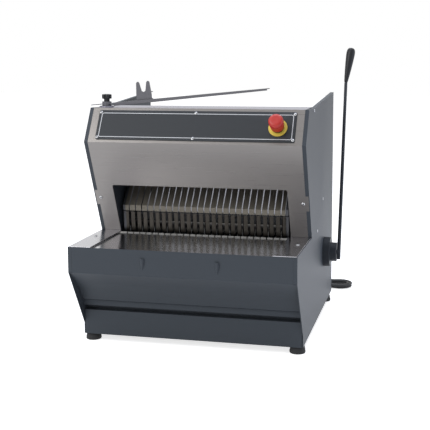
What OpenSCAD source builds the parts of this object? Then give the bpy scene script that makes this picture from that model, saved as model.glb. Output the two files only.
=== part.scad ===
// Table-top bread slicer: two blade frames in a sheet-metal body, loaded from behind,
// with a hand lever that swings a comb-shaped pusher through the blades.
// Millimetres, +Z up, +Y to the back. The pieces are drawn about the middle of the body and
// then set with the origin under the middle of the front left foot.

/* [Body] */
// Width over the two side panels
body_w = 600; // [570:2:650]
// Depth of the side panels
body_d = 720; // [700:5:800]
// Height of the side panels at the back
body_h = 654; // [640:2:690]
// Height of the rubber feet
foot_h = 20; // [18:1:30]
// Diameter of the rubber feet
foot_d = 42; // [34:1:46]
// Thickness of the painted side panels and the base
panel_t = 2; // [1.5:0.1:2.5]
// Thickness of the stainless and inner sheets
sheet_t = 1.5; // [1:0.1:2]
// Width of the folded edge of the side panels
flange_w = 8; // [6:0.5:10]
// Height of the tray seat above the floor
tray_z = 280; // [274:1:286]

/* [Hood and controls] */
// Height of the hood opening above the tray seat
mouth_h = 138; // [120:1:150]
// Width of the control plate less than the body
plate_less = 60; // [50:1:80]
// Length of the control plate up the slope
plate_len = 88; // [80:1:92]
// Diameter of the emergency stop head
stop_d = 39; // [32:1:42]
// Travel of the emergency stop head
stop_travel = 6; // [4:0.5:8]

/* [Blades] */
// Distance between neighbouring blades
blade_pitch = 18; // [15:0.5:24]
// Width of a blade strip
blade_w = 12; // [8:0.5:12]
// Thickness of a blade strip
blade_t = 0.7; // [0.5:0.1:1]
// Lean of the blade frames from upright
blade_lean = 16; // [14:1:18]
// Throw of the eccentrics, half the stroke of a frame
throw = 12; // [8:1:12]

/* [Lever and pusher] */
// Length of the lever from its shaft to the top of the grip
lever_len = 616; // [540:2:660]
// Lean of the lever to the back at rest
lever_lean = 11.8; // [8:0.2:14]
// Outward cant of the lever
lever_cant = 0.4; // [0:0.2:4]
// Outward bend of the lever under the grip
grip_bend = 7; // [0:0.5:10]
// Diameter of the lever bar at its foot
lever_d = 11; // [9:0.5:13]
// Diameter of the lever shaft
shaft_d = 25; // [20:1:28]

/* [Bag holder] */
// Length of the bag arm
arm_len = 503; // [400:1:520]
// Rise of the bag arm
arm_rise = 5.5; // [3:0.5:8]
// Width of the bag fork
fork_w = 44; // [36:1:60]
// Height of the bag fork
fork_h = 50; // [36:1:60]
// Diameter of the star knob
knob_d = 28; // [22:1:34]

/* [Crumb drawer] */
// Depth of the drawer box
drawer_d = 410; // [300:5:420]

/* [Cord] */
// Diameter of the mains cord
cord_d = 7; // [6.5:0.1:7.5]

/* [Fits] */
// Gap between separate pieces
gap = 0.3; // [0.25:0.05:0.4]
// Radial play of pins and shafts in their bores
fit = 0.05; // [0.03:0.01:0.1]

/* [Hidden] */
$fn = 48;
paint = [0.28, 0.30, 0.33];
steel = [0.52, 0.50, 0.48];
bright = [0.72, 0.71, 0.73];
dark = [0.20, 0.22, 0.26];
black = [0.07, 0.07, 0.08];
iron = [0.36, 0.36, 0.37];

// Distances behind the fascia and in front of the back
function fy(d) = d - body_d / 2;
function ry(d) = body_d / 2 - d;

// Front of the drawer, and its depth, which is stated for a body 720 deep
drawer_y = fy(104);
drawer_len = drawer_d * body_d / 720;

// Half widths: outside, inside the panels, between the folded edges, inner walls, chute
hw = body_w / 2;
hi = hw - panel_t;
plate_x = hi - gap;
flange_x = hi - flange_w - gap;
wall_t = 2;
wall_x = hw - 57;
arm_t = 8;
arm_x = wall_x - 7 - arm_t;
chute_x = arm_x - 6;

// Heights that the outline is built on
z0 = foot_h;
pan_z = z0 + panel_t;
top_z = body_h - 24;
nose_z = body_h - 113;

// Side outline, as [Y, Z], from the bottom front round to the bottom rear
p_bot = [fy(106), z0];
p_low = [fy(106), z0 + 30];
p_bend = [fy(0), tray_z - 68];
p_fas = [fy(0), tray_z];
p_hb = [fy(254), tray_z];
p_nose = [fy(129), nose_z];
p_top = [fy(184), top_z];
p_rise = [fy(276), top_z - 2];
p_rear = [ry(0), body_h];
p_rb = [ry(0), z0];
edge_path = [p_bot, p_low, p_bend, p_fas, p_hb, p_nose, p_top, p_rise, p_rear];
fold_path = [for (i = [2:len(edge_path) - 1]) edge_path[i]];
outline = concat(edge_path, [p_rb]);

// Slopes of the hood and of the control plate
hood_tilt = atan2(p_hb.x - p_nose.x, p_nose.y - p_hb.y);
ctrl_tilt = atan2(p_top.x - p_nose.x, p_top.y - p_nose.y);
ctrl_len = norm(p_top - p_nose);

// Hood screws, up the slope from the tray seat
ear_z = 100 / cos(hood_tilt);
ear_half = 24;
ear_x = hi - 15;
tab_t = 2;

// Control plate and its screws
plate_w = body_w - plate_less;
plate_t = 2;
plate_z0 = (ctrl_len - plate_len) / 2;
plate_sx = plate_w / 2 - 5;
plate_sz = [plate_z0 + 6, plate_z0 + plate_len - 7];
seat = 0.05;
stop_at = [plate_w / 2 - 46.5, plate_z0 + plate_len / 2 - 3];
stop_stem = 11;
stop_stand = 22;
stop_high = 46;
ring_t = 3;
ring_r = stop_d / 2 + 5.2;

// Small screws
screw_r = 2.5;
screw_head = 4.5;
screw_h = 2.2;

// Blades: count, rows and frame heights, measured along the lean
blade_half = floor((chute_x - 5) / blade_pitch);
blade_n = 2 * blade_half + 1;
row_off = 7;
bar_t = 10;
bar_h = 16;
rod_r = 6;
rod_xa = wall_x + 15;
rod_xb = rod_xa + 16;
ref_z = tray_z + 6;
frame_top = body_h - 94;
w_top = (frame_top - ref_z) / cos(blade_lean);
w_bot = -66;
w_pin = -112;
w_crank = -172;
ref_y = fy(271.5);
guide_w = [40, w_top - 85];
guide_len = 40;

// Crank, motor and belt, as [Y, Z]
crank_c = [ref_y + w_crank * sin(blade_lean), ref_z + w_crank * cos(blade_lean)];
crank_r = 11;
ecc_r = crank_r + throw + 3;
strap_r = ecc_r + 8;
strap_t = 14;
lug_t = 8;
lug_x = [wall_x - 93, wall_x - 61];
motor_foot = 46;
motor_c = [max(ry(110), drawer_y + drawer_len + motor_foot + 6), z0 + 80];
motor_r = 60;
motor_len = 210;
motor_x = -(wall_x - 18);
spindle_r = 9;
crank_pr = 60;
motor_pr = 30;
pulley_t = 16;
pulley_x = -(hi - 15);
belt_t = 4;
bearing_x = hw - 54;
bearing_t = 14;

// Rear edge of the blades at a height
function behind_blades(z) =
  ref_y + (z - ref_z) * tan(blade_lean) + (row_off + blade_w / 2) / cos(blade_lean);

// Lever shaft, as [Y, Z], and the pusher that it carries
hub_c = [fy(526), tray_z - 92];
shaft_r = shaft_d / 2;
flange_t = 20;
hub_t = 17;
hub_r = 28;
boss_r = 43.5;
bar_low = 22;
tang_r = 3.6;
bar_x = hw + flange_t + hub_t + 3 * gap + lever_d / 2 + bar_low * sin(lever_cant);
grip_len = 105;
comb_t = 2;
slot_w = 3;
finger_w = 0.6 * blade_pitch;
beak = [fy(250), tray_z + 73];
brow_p = [fy(251), tray_z + 58];
tip_p = [fy(255), tray_z + 54];
toe_p = [fy(261), tray_z - 1];
heel_p = [fy(340), tray_z + 14];
crest_z = beak.y + 0.4 * (frame_top - ref_z);
crest_p = [behind_blades(crest_z) + 10, crest_z];
beam_p = [fy(318), tray_z + 22];
beam_s = [22, 26];

// Drawer and the strip above it
drawer_x = bearing_x - 8;
drawer_top = z0 + 67;
drawer_front = hi - 1;
drawer_wall = crank_c.y - strap_r - throw - 12;
lintel_z = [tray_z - 179, tray_z - 163.5];

// Bag arm pivot
pivot = [-(hw - 34), fy(220)];
stud_r = 4;
washer_t = 3;
arm_w = 22;
arm_hub_z = top_z + washer_t + gap;
arm_hub_h = 12;
fork_x = 88;
fork_t = 2;

// Left normal of a stretch, and a ribbon of sheet along a bent path
function unit(v) = v / norm(v);
function side(a, b) = let (d = unit(b - a)) [-d.y, d.x];
function inset(path, i, t) =
  let (
    n = len(path),
    a = i > 0 ? side(path[i - 1], path[i]) : side(path[0], path[1]),
    b = i < n - 1 ? side(path[i], path[i + 1]) : a
  )
  path[i] + t * (a + b) / (1 + a * b);
function ribbon(path, t) = concat(path, [for (i = [len(path) - 1:-1:0]) inset(path, i, t)]);

// Points of a rectangle with rounded corners
function rrect(w, h, r) =
  [for (k = [0:3], j = [0:6])
    let (a = 90 * k + 15 * j, sx = (k == 0 || k == 3) ? 1 : -1, sy = k < 2 ? 1 : -1)
      [sx * (w / 2 - r) + r * cos(a), sy * (h / 2 - r) + r * sin(a)]];

// A [Y, Z] shape drawn out along X
module slab_x(x, t) {
  translate([x, 0, 0]) rotate([90, 0, 90]) linear_extrude(t) children();
}

// A pin along X at a [Y, Z] point
module pin_x(x, t, c, r) {
  translate([x, c.x, c.y]) rotate([0, 90, 0]) cylinder(h = t, r = r);
}

// A pin along the inward normal of a sloped face
module peg(x, z, y, t, r) {
  translate([x, y, z]) rotate([-90, 0, 0]) cylinder(h = t, r = r);
}

module on_hood() {
  translate([0, p_hb.x, p_hb.y]) rotate([hood_tilt, 0, 0]) children();
}

module on_ctrl() {
  translate([0, p_nose.x, p_nose.y]) rotate([-ctrl_tilt, 0, 0]) children();
}

module on_blade() {
  translate([0, ref_y, ref_z]) rotate([-blade_lean, 0, 0]) children();
}

module both_sides() {
  children();
  mirror([1, 0, 0]) children();
}

// Places of the screws in the side panels, as [Y, Z]
side_at = [
  [fy(482), tray_z + 73], [fy(366), tray_z - 1],
  [max(ry(36), hub_c.x + boss_r + 12), tray_z - 84], [fy(282), top_z - 8]
];

module panel_shape() {
  difference() {
    union() {
      slab_x(hi, panel_t) polygon(outline);
      difference() {
        slab_x(hi - flange_w, flange_w + panel_t / 2) polygon(ribbon(fold_path, -panel_t));
        on_hood() translate([hi - flange_w - 1, -5, ear_z - ear_half])
          cube([flange_w + 1, 15, 2 * ear_half]);
      }
      on_hood() translate([ear_x - 12, sheet_t + gap, ear_z - ear_half + 4])
        cube([hi - ear_x + 12 + panel_t / 2, tab_t, 2 * ear_half - 8]);
    }
    on_hood() peg(ear_x, ear_z, -1, 20, screw_r + fit);
    for (c = side_at) pin_x(hi - 1, panel_t + 2, c, screw_r + fit);
  }
}

module right_side_panel() {
  color(paint) difference() {
    panel_shape();
    pin_x(hi - 1, panel_t + 2, hub_c, shaft_r + gap);
  }
}

module left_side_panel() {
  color(paint) mirror([1, 0, 0]) panel_shape();
}

module base_pan() {
  color(paint) translate([-plate_x, drawer_y + panel_t + 4, z0])
    cube([2 * plate_x, body_d / 2 - gap - drawer_y - panel_t - 4, panel_t]);
}

foot_x = hw - 18;
foot_y = [drawer_y + foot_d / 2 + 4, ry(50)];
module rubber_feet() {
  color(black) both_sides() for (y = foot_y) translate([foot_x, y, 0]) {
    cylinder(h = 6, r = foot_d / 2);
    translate([0, 0, 5]) cylinder(h = z0 - 5, r1 = foot_d / 2, r2 = foot_d / 2 - 3);
  }
}

// Fascia: upright band, hollow slope and a lip over the strip below it
fascia_path = [
  [fy(110), lintel_z[1] + gap + sheet_t], [fy(91), lintel_z[1] + gap + sheet_t + 1],
  [fy(71), tray_z - 127], [fy(40), tray_z - 99],
  [fy(0), tray_z - 68], [fy(0), tray_z - gap]
];
slope_path = concat([for (i = [0:3]) fascia_path[i]], [
  fascia_path[4] + 2.5 * unit(fascia_path[3] - fascia_path[4])
]);
hook_x = 98;
hook_z = tray_z - 51;
module front_fascia() {
  color(paint) {
    slab_x(-flange_x, 2 * flange_x) polygon(ribbon(fascia_path, -sheet_t));
    slab_x(-plate_x, 2 * plate_x) polygon(ribbon(slope_path, -sheet_t));
    for (s = [-1, 1]) translate([s * hook_x, fy(0) + sheet_t / 2, hook_z]) difference() {
      union() {
        cylinder(h = 19, r1 = 2, r2 = 6);
        translate([0, 0, 19]) cylinder(h = 10, r = 6);
      }
      translate([0, 0, 6]) cylinder(h = 13, r1 = 1.5, r2 = 4.6);
      translate([0, 0, 19]) cylinder(h = 11, r = 4.6);
      translate([-10, 0, -1]) cube([20, 10, 40]);
    }
  }
}

module drawer_lintel() {
  color(paint) slab_x(-plate_x, 2 * plate_x) polygon(ribbon([
    [fy(124), max(drawer_top - 6, drawer_wall + 2)], [fy(124), lintel_z[0]], [fy(100), lintel_z[0]],
    [fy(100), lintel_z[1]], [fy(114), lintel_z[1]]
  ], -sheet_t));
}

module crumb_drawer() {
  zb = pan_z + gap;
  t = sheet_t;
  color(paint) {
    translate([-drawer_front, drawer_y, z0]) cube([2 * drawer_front, panel_t, drawer_top - z0]);
    translate([-drawer_front, drawer_y, drawer_top - 2]) cube([2 * drawer_front, 14, 2]);
    translate([-drawer_x, drawer_y + 1, zb]) difference() {
      cube([2 * drawer_x, drawer_len, drawer_wall - zb]);
      translate([t, t, t]) cube([2 * (drawer_x - t), drawer_len - 2 * t, drawer_wall]);
    }
  }
}

module drawer_runners() {
  color(steel) both_sides() translate([drawer_x + gap, drawer_y + 20, pan_z])
    cube([sheet_t, drawer_len - 20, drawer_wall - pan_z - 6]);
}

// Tray: side plates on the folded edges, polished bed with a toothed lip before the blades
bed_x = wall_x - 5;
bed_z = tray_z - 3;
tray_sx = hi - 20;
tray_sy = fy(146);
module tray_plate() {
  difference() {
    union() {
      translate([bed_x, fy(0) + gap, tray_z]) cube([plate_x - bed_x, 252, sheet_t]);
      translate([bed_x, fy(0) + gap, tray_z]) cube([flange_x - bed_x, 255.2, sheet_t]);
      translate([bed_x, fy(0) + gap + 4, tray_z - 12]) cube([sheet_t, 248, 12 + sheet_t / 2]);
    }
    translate([tray_sx, tray_sy, tray_z - 1]) cylinder(h = 5, r = screw_r + fit);
  }
}

module tray_plate_right() {
  color(steel) tray_plate();
}

module tray_plate_left() {
  color(steel) mirror([1, 0, 0]) tray_plate();
}

module tray_screws() {
  color(bright) both_sides() translate([tray_sx, tray_sy, 0]) {
    translate([0, 0, tray_z + sheet_t]) cylinder(h = screw_h, r1 = screw_head, r2 = screw_head - 1.2);
    translate([0, 0, tray_z - 10]) cylinder(h = 12, r = screw_r);
  }
}

function blade_xs(first) = [for (i = [first:2:blade_n - 1]) (i - blade_half) * blade_pitch];

module tray_bed() {
  x = bed_x - gap;
  color(bright) difference() {
    slab_x(-x, 2 * x) polygon(ribbon([
      [fy(sheet_t + gap), tray_z - 40], [fy(sheet_t + gap), bed_z], [fy(230), bed_z],
      [fy(234), bed_z + 3], [fy(242), bed_z + 3]
    ], -sheet_t));
    for (i = [-blade_half:blade_half])
      translate([i * blade_pitch - slot_w / 2, fy(229), bed_z - 6]) cube([slot_w, 60, 30]);
  }
}

// Hood: front slope with the bread mouth, bent at the nose to carry the control plate
hood_foot = p_hb + (sheet_t + gap) / cos(hood_tilt) * unit(p_nose - p_hb);
mouth_x = wall_x;
module hood() {
  color(steel) difference() {
    union() {
      slab_x(-flange_x, 2 * flange_x) polygon(ribbon([hood_foot, p_nose, p_top], -sheet_t));
      both_sides() on_hood() translate([flange_x - 1, 0, ear_z - ear_half + gap])
        cube([plate_x - flange_x + 1, sheet_t, 2 * (ear_half - gap)]);
    }
    on_hood() translate([0, 5, mouth_h / cos(hood_tilt) - 200]) rotate([90, 0, 0])
      linear_extrude(10) polygon(rrect(2 * mouth_x, 400, 5));
    both_sides() on_hood() peg(ear_x, ear_z, -1, 5, screw_r + fit);
    on_ctrl() plate_holes();
    on_ctrl() peg(stop_at.x, stop_at.y, -1, 5, stop_stem + 1);
  }
}

module plate_holes() {
  for (x = [-plate_sx, 0, plate_sx], z = plate_sz) peg(x, z, -plate_t - 1, 8, screw_r + fit);
}

module hood_screws() {
  color(bright) both_sides() on_hood() {
    peg(ear_x, ear_z, -screw_h - seat, screw_h, screw_head);
    peg(ear_x, ear_z, -seat - 0.1, 10, screw_r);
  }
}

module control_panel() {
  color(dark) on_ctrl() difference() {
    translate([0, -seat, plate_z0 + plate_len / 2]) rotate([90, 0, 0])
      linear_extrude(plate_t) polygon(rrect(plate_w, plate_len, 5));
    plate_holes();
    peg(stop_at.x, stop_at.y, -plate_t - 1, 8, stop_stem + 1);
  }
}

module panel_screws() {
  y = -plate_t - 2 * seat;
  color(bright) on_ctrl() for (x = [-plate_sx, 0, plate_sx], z = plate_sz) {
    peg(x, z, y - screw_h, screw_h, screw_head - 0.5);
    peg(x, z, y - 0.1, 9, screw_r);
  }
}

// Emergency stop: collar on the plate, switch behind it, mushroom head that is pushed in
module estop_ring() {
  y = -plate_t - 2 * seat - ring_t;
  color([0.93, 0.78, 0.10]) on_ctrl() difference() {
    peg(stop_at.x, stop_at.y, y, ring_t, ring_r);
    peg(stop_at.x, stop_at.y, y - 1, ring_t + 2, stop_stem + 1);
  }
}

module estop_body() {
  y = -plate_t - ring_t - 4 * seat;
  color(black) on_ctrl() difference() {
    union() {
      peg(stop_at.x, stop_at.y, y - 6, 6, stop_stem + 5);
      peg(stop_at.x, stop_at.y, y - 1, plate_t + ring_t + 20, stop_stem + 1 - fit);
      translate([stop_at.x - 15, sheet_t + gap, stop_at.y - 20]) cube([30, 38, 40]);
    }
    peg(stop_at.x, stop_at.y, y - 7, plate_t + ring_t + 32, 6 + fit);
  }
}

module estop_head() {
  r = stop_d / 2;
  base = -plate_t - ring_t - 6;
  color([0.80, 0.10, 0.10]) on_ctrl() translate([stop_at.x, base, stop_at.y]) rotate([90, 0, 0]) {
    translate([0, 0, -18]) cylinder(h = stop_stand + 10, r = 6);
    rotate_extrude() polygon([
      [0, stop_travel + 2], [stop_stem + 5.6, stop_travel + 2], [stop_stem + 5.6, 1], [r - 2, 1],
      [r - 1.4, stop_stand - 6], [r, stop_stand - 1], [r, stop_high - 18], [r - 1.5, stop_high - 13],
      [r - 5, stop_high - 10.2], [r - 9, stop_high - 9.2], [0, stop_high - 9]
    ]);
  }
}

// Top cover, and the guard behind it that goes round the tops of the blade frames
cover_end = 310;
dot_x = hi - 12;
module top_cover() {
  color(bright) difference() {
    translate([-flange_x, fy(184) + sheet_t + 1.5 * gap, top_z - sheet_t])
      cube([2 * flange_x, cover_end - 184 - sheet_t - 1.5 * gap, sheet_t]);
    translate([pivot.x, pivot.y, top_z - 5]) cylinder(h = 10, r = stud_r + gap);
    translate([dot_x, fy(208), top_z - 5]) cylinder(h = 10, r = 2.5);
  }
}

guard_y = ref_y + (w_top + bar_h / 2 + throw) * sin(blade_lean)
  + (row_off + bar_t / 2) / cos(blade_lean) + 20;
module rear_guard() {
  a = fy(cover_end) + sheet_t + gap;
  color(steel) slab_x(-flange_x, 2 * flange_x) polygon(ribbon([
    [a, top_z], [guard_y, top_z - 55], [guard_y, top_z - 115]
  ], -sheet_t));
}

module rear_panel() {
  color(paint) difference() {
    translate([-plate_x, ry(panel_t), pan_z + gap])
      cube([2 * plate_x, panel_t, tray_z + 200 - pan_z]);
    translate([gland_at.x, ry(panel_t + 1), gland_at.y]) rotate([-90, 0, 0])
      cylinder(h = panel_t + 2, r = gland_neck + fit);
  }
}

// Loading chute on two gussets from the rear panel
chute_a = [fy(356), tray_z + 23];
chute_b = [ry(panel_t + gap), tray_z + 200];
module feed_chute() {
  color(bright) {
    slab_x(-chute_x, 2 * chute_x) polygon(ribbon([
      chute_a, chute_b, chute_b - [0, 60]
    ], -sheet_t));
    both_sides() slab_x(chute_x - 30, 3) polygon([
      chute_a + 0.25 * (chute_b - chute_a) - [0, 1], chute_b - [sheet_t / 2, 1],
      chute_b - [0, 230]
    ]);
  }
}

function behind_hood(z) = p_hb.x - (z - p_hb.y) * tan(hood_tilt) + 7;
module inner_wall() {
  z = [tray_z - 32, tray_z + sheet_t + gap, body_h - 211, body_h - 164];
  slab_x(wall_x + seat, wall_t) polygon([
    [fy(264.5), z[0]], [fy(264.5), z[1]], [behind_hood(z[1]), z[1]], [behind_hood(z[2]), z[2]],
    [behind_hood(z[2]) + 53, z[3]], [fy(560), z[3]], [fy(560), z[0]]
  ]);
}

module inner_wall_right() {
  color(dark) inner_wall();
}

module inner_wall_left() {
  color(dark) mirror([1, 0, 0]) inner_wall();
}

module side_screws() {
  color(bright) both_sides() for (c = side_at) {
    pin_x(hw, screw_h, c, screw_head - 0.5);
    pin_x(hw - 8, 8.1, c, screw_r);
  }
}

// Blade frames: cross bars on two guide rods, lugs for the connecting rods, thin blades
module blade_frame(s, rod_x, lug) {
  y = s * row_off;
  on_blade() {
    for (w = [w_bot, w_top]) translate([-rod_x, y - bar_t / 2, w - bar_h / 2])
      cube([2 * rod_x, bar_t, bar_h]);
    for (x = [-rod_x, rod_x]) translate([x, y, w_bot - bar_h / 2])
      cylinder(h = w_top - w_bot + bar_h, r = rod_r);
    both_sides() difference() {
      translate([lug, y - 6, w_pin - 10]) cube([lug_t, 12, w_bot - w_pin + 10]);
      translate([lug - 1, y, w_pin]) rotate([0, 90, 0]) cylinder(h = lug_t + 2, r = 4.5);
    }
  }
}

module blade_row(s, first) {
  len_w = w_top - w_bot - bar_h - 2 * gap;
  on_blade() for (x = blade_xs(first))
    translate([x - blade_t / 2, s * row_off - blade_w / 2, w_bot + bar_h / 2 + gap])
      cube([blade_t, blade_w, len_w]);
}

module frame_a() {
  color(iron) blade_frame(-1, rod_xa, lug_x[0]);
}

module blades_a() {
  color(bright) blade_row(-1, 0);
}

module frame_b() {
  color(iron) blade_frame(1, rod_xb, lug_x[1]);
}

module blades_b() {
  color(bright) blade_row(1, 1);
}

module guide_blocks() {
  x = wall_x + wall_t + seat + gap;
  color(iron) both_sides() on_blade() for (w = guide_w) difference() {
    translate([x, -20, w]) cube([plate_x - x, 40, guide_len]);
    translate([rod_xa, -row_off, w - 1]) cylinder(h = guide_len + 2, r = rod_r + fit);
    translate([rod_xb, row_off, w - 1]) cylinder(h = guide_len + 2, r = rod_r + fit);
  }
}

// Eccentric shaft under the frames, with a strap and rod on each eccentric
function ecc_at(s) = [s * throw, w_crank];
strap_x = [lug_x[0] + lug_t + 1, lug_x[1] + lug_t + 1];
module crankshaft() {
  color(iron) {
    pin_x(pulley_x - pulley_t / 2, bearing_x + bearing_t + 2 - pulley_x + pulley_t / 2,
      crank_c, crank_r);
    both_sides() on_blade() for (k = [0, 1])
      pin_x(strap_x[k], strap_t, ecc_at(2 * k - 1), ecc_r);
  }
}

module rods(s, x) {
  e = ecc_at(s);
  p = [s * row_off, w_pin];
  color(steel) both_sides() on_blade() slab_x(x + 0.3, strap_t - 0.6) difference() {
    union() {
      translate(e) circle(r = strap_r);
      translate(p) circle(r = 9);
      polygon([e + [-7, 0], e + [7, 0], p + [6, 0], p + [-6, 0]]);
    }
    translate(e) circle(r = ecc_r + fit);
    translate(p) circle(r = 4.5);
  }
}

module conrods_a() {
  rods(-1, strap_x[0]);
}

module conrods_b() {
  rods(1, strap_x[1]);
}

module crank_bearings() {
  color(iron) both_sides() difference() {
    translate([bearing_x, crank_c.x - 24, pan_z]) cube([bearing_t, 48, crank_c.y + 22 - pan_z]);
    pin_x(bearing_x - 1, bearing_t + 2, crank_c, crank_r + fit);
  }
}

// Belt drive from the motor
module crank_pulley() {
  color(iron) difference() {
    pin_x(pulley_x - pulley_t / 2, pulley_t, crank_c, crank_pr);
    pin_x(pulley_x - pulley_t / 2 - 1, pulley_t + 2, crank_c, crank_r + fit);
  }
}

module motor_rotor() {
  x = pulley_x - pulley_t / 2 - 3;
  color(iron) {
    pin_x(pulley_x - pulley_t / 2, pulley_t, motor_c, motor_pr);
    pin_x(x, motor_x + 70 - x, motor_c, spindle_r);
  }
}

// Loop round both pulleys at an extra radius, as [Y, Z] points
function belt_loop(e) =
  let (
    d = motor_c - crank_c,
    base = atan2(d.y, d.x),
    open = acos((crank_pr - motor_pr) / norm(d)),
    n = 24
  )
  concat(
    [for (i = [0:n]) let (a = base + open + i * (360 - 2 * open) / n)
      crank_c + (crank_pr + e) * [cos(a), sin(a)]],
    [for (i = [0:n]) let (a = base - open + i * 2 * open / n)
      motor_c + (motor_pr + e) * [cos(a), sin(a)]]
  );

module drive_belt() {
  t = pulley_t - 4;
  color(black) slab_x(pulley_x - t / 2, t) difference() {
    polygon(belt_loop(gap + belt_t));
    polygon(belt_loop(gap + 0.3));
  }
}

module motor_body() {
  color(iron) difference() {
    union() {
      pin_x(motor_x, motor_len, motor_c, motor_r - 4);
      for (k = [0:7]) pin_x(motor_x + 20 + 22 * k, 14, motor_c, motor_r);
    }
    pin_x(motor_x - 1, 80, motor_c, spindle_r + fit);
  }
}

module motor_bracket() {
  color(paint) difference() {
    translate([motor_x + 40, motor_c.x - motor_foot, pan_z])
      cube([motor_len - 80, 2 * motor_foot, motor_c.y - 30 - pan_z]);
    pin_x(motor_x, motor_len, motor_c, motor_r + gap);
  }
}

// Lever side: flange on the right panel, shaft across the body, hub, bar and grip
module lever_flange() {
  color(paint) difference() {
    pin_x(hw, flange_t, hub_c, boss_r);
    pin_x(hw - 1, flange_t + 2, hub_c, shaft_r + fit);
  }
}

module shaft_bearing() {
  color(iron) difference() {
    pin_x(-plate_x, 14, hub_c, shaft_r + 14);
    pin_x(-plate_x + 3, 14, hub_c, shaft_r + fit);
  }
}

module lever_shaft() {
  x = -plate_x + 3 + gap;
  color(steel) pin_x(x, hub_x + hub_t - 4 - gap - x, hub_c, shaft_r);
}

hub_x = hw + flange_t + gap;
module lever_hub() {
  color(paint) difference() {
    pin_x(hub_x, hub_t, hub_c, hub_r);
    pin_x(hub_x - 1, hub_t - 3, hub_c, shaft_r + fit);
  }
}

module on_lever() {
  translate([bar_x, hub_c.x, hub_c.y]) rotate([-lever_lean, 0, 0]) rotate([0, lever_cant, 0])
    children();
}

module on_grip() {
  on_lever() translate([0, 0, lever_len - grip_len]) rotate([0, grip_bend, 0]) children();
}

module lever_bar() {
  n = lever_len - grip_len;
  color(paint) {
    on_lever() translate([0, 0, -bar_low])
      cylinder(h = n + bar_low - 0.9, r1 = lever_d / 2, r2 = tang_r + 1);
    on_grip() translate([0, 0, -5]) cylinder(h = grip_len - 20, r = tang_r);
    pin_x(hub_x + hub_t + gap, lever_d / 2, hub_c, 7);
  }
}

module lever_grip() {
  color(black) on_grip() difference() {
    rotate_extrude() polygon([
      [0, 0], [5, 0], [6, 6], [9.5, 40], [12, 70], [13, 86], [12.6, 94], [10.5, 100], [7, 103.5],
      [3, 104.8], [0, 105]
    ]);
    translate([0, 0, -1]) cylinder(h = grip_len - 23, r = tang_r + 2 * fit);
  }
}

// Pusher: swinging arms on the shaft, slotted face plate with a brow, finger strips, beam behind
module pusher_frame() {
  color(iron) {
    both_sides() difference() {
      slab_x(arm_x, arm_t) {
        translate(hub_c) circle(r = shaft_r + 12);
        polygon([
          hub_c + [-16, -20], toe_p + [3, 1], tip_p + [3, 1], brow_p + [3, 0], beak + [4, 0],
          crest_p + [0, -2], crest_p + [14, -2], heel_p + [8, 30], hub_c + [10, 22]
        ]);
      }
      pin_x(arm_x - 1, arm_t + 2, hub_c, shaft_r + fit);
    }
    translate([-arm_x - 1, beam_p.x, beam_p.y]) cube([2 * arm_x + 2, beam_s.x, beam_s.y]);
  }
}

// Cuts for the blades, open to the front
module comb_cut(w, back) {
  for (i = [-blade_half:blade_half]) translate([i * blade_pitch - w / 2, fy(200), tray_z - 40])
    cube([w, back - fy(200), 300]);
}

module pusher_plate() {
  x = arm_x - gap;
  color([0.45, 0.44, 0.40]) difference() {
    slab_x(-x, 2 * x) polygon(ribbon([brow_p, beak, crest_p, crest_p + [20, -14]], -comb_t));
    intersection() {
      comb_cut(slot_w, crest_p.x);
      slab_x(-x, 2 * x) polygon([
        beak + [-9, -25], beak + [-9, 30], crest_p + [-16, 0], crest_p + [0, -16], beak + [30, -25]
      ]);
    }
  }
}

module pusher_fingers() {
  x = arm_x - gap;
  color(bright) difference() {
    slab_x(-x, 2 * x) polygon(ribbon([tip_p, toe_p, heel_p], comb_t));
    comb_cut(blade_pitch - finger_w, behind_blades(toe_p.y + 6) + 3);
  }
}

// Bag holder: stud through the cover, washer, swinging arm with a fork, star knob on top
module arm_stud() {
  color(steel) translate([pivot.x, pivot.y, 0]) {
    translate([0, 0, top_z - 20]) cylinder(h = arm_hub_z + arm_hub_h + 12 - top_z + 20, r = stud_r);
    translate([0, 0, top_z - sheet_t - 7]) cylinder(h = 7, r = 7, $fn = 6);
  }
}

module arm_washer() {
  color(steel) translate([pivot.x, pivot.y, top_z]) difference() {
    cylinder(h = washer_t, r = 20.5);
    translate([0, 0, -1]) cylinder(h = washer_t + 2, r = stud_r + fit);
  }
}

// Sloping frame of the arm, with its pivot at the middle of the hub
module on_arm() {
  translate([pivot.x, pivot.y, arm_hub_z + arm_hub_h / 2]) rotate([0, -arm_rise, 0]) children();
}

arm_tail = 45;
module bag_arm() {
  n = arm_len - arm_tail;
  color(steel) difference() {
    union() {
      on_arm() translate([0, 0, -1]) linear_extrude(2) polygon([
        [-arm_tail, -7], [-arm_tail + 8, -arm_w / 2], [n - 8, -arm_w / 2], [n, -arm_w / 2 + 3],
        [n, -arm_w / 2 + 8], [n - 60, arm_w / 2], [-arm_tail + 8, arm_w / 2], [-arm_tail, 7]
      ]);
      on_arm() translate([24, -arm_w / 2, -5]) rotate([90, 0, 0]) mirror([0, 0, 1])
        linear_extrude(1.5) polygon([[0, 5], [n - 30, 5], [n - 30, 0.5], [60, -3], [0, -3]]);
      translate([pivot.x, pivot.y, arm_hub_z]) cylinder(h = arm_hub_h, r = 13);
    }
    translate([pivot.x, pivot.y, arm_hub_z - 1]) cylinder(h = arm_hub_h + 2, r = stud_r + fit);
    on_arm() for (x = [fork_x + 10, fork_x + fork_w - 10]) translate([x, 5, -3])
      cylinder(h = 6, r = 1.6);
  }
}

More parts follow.
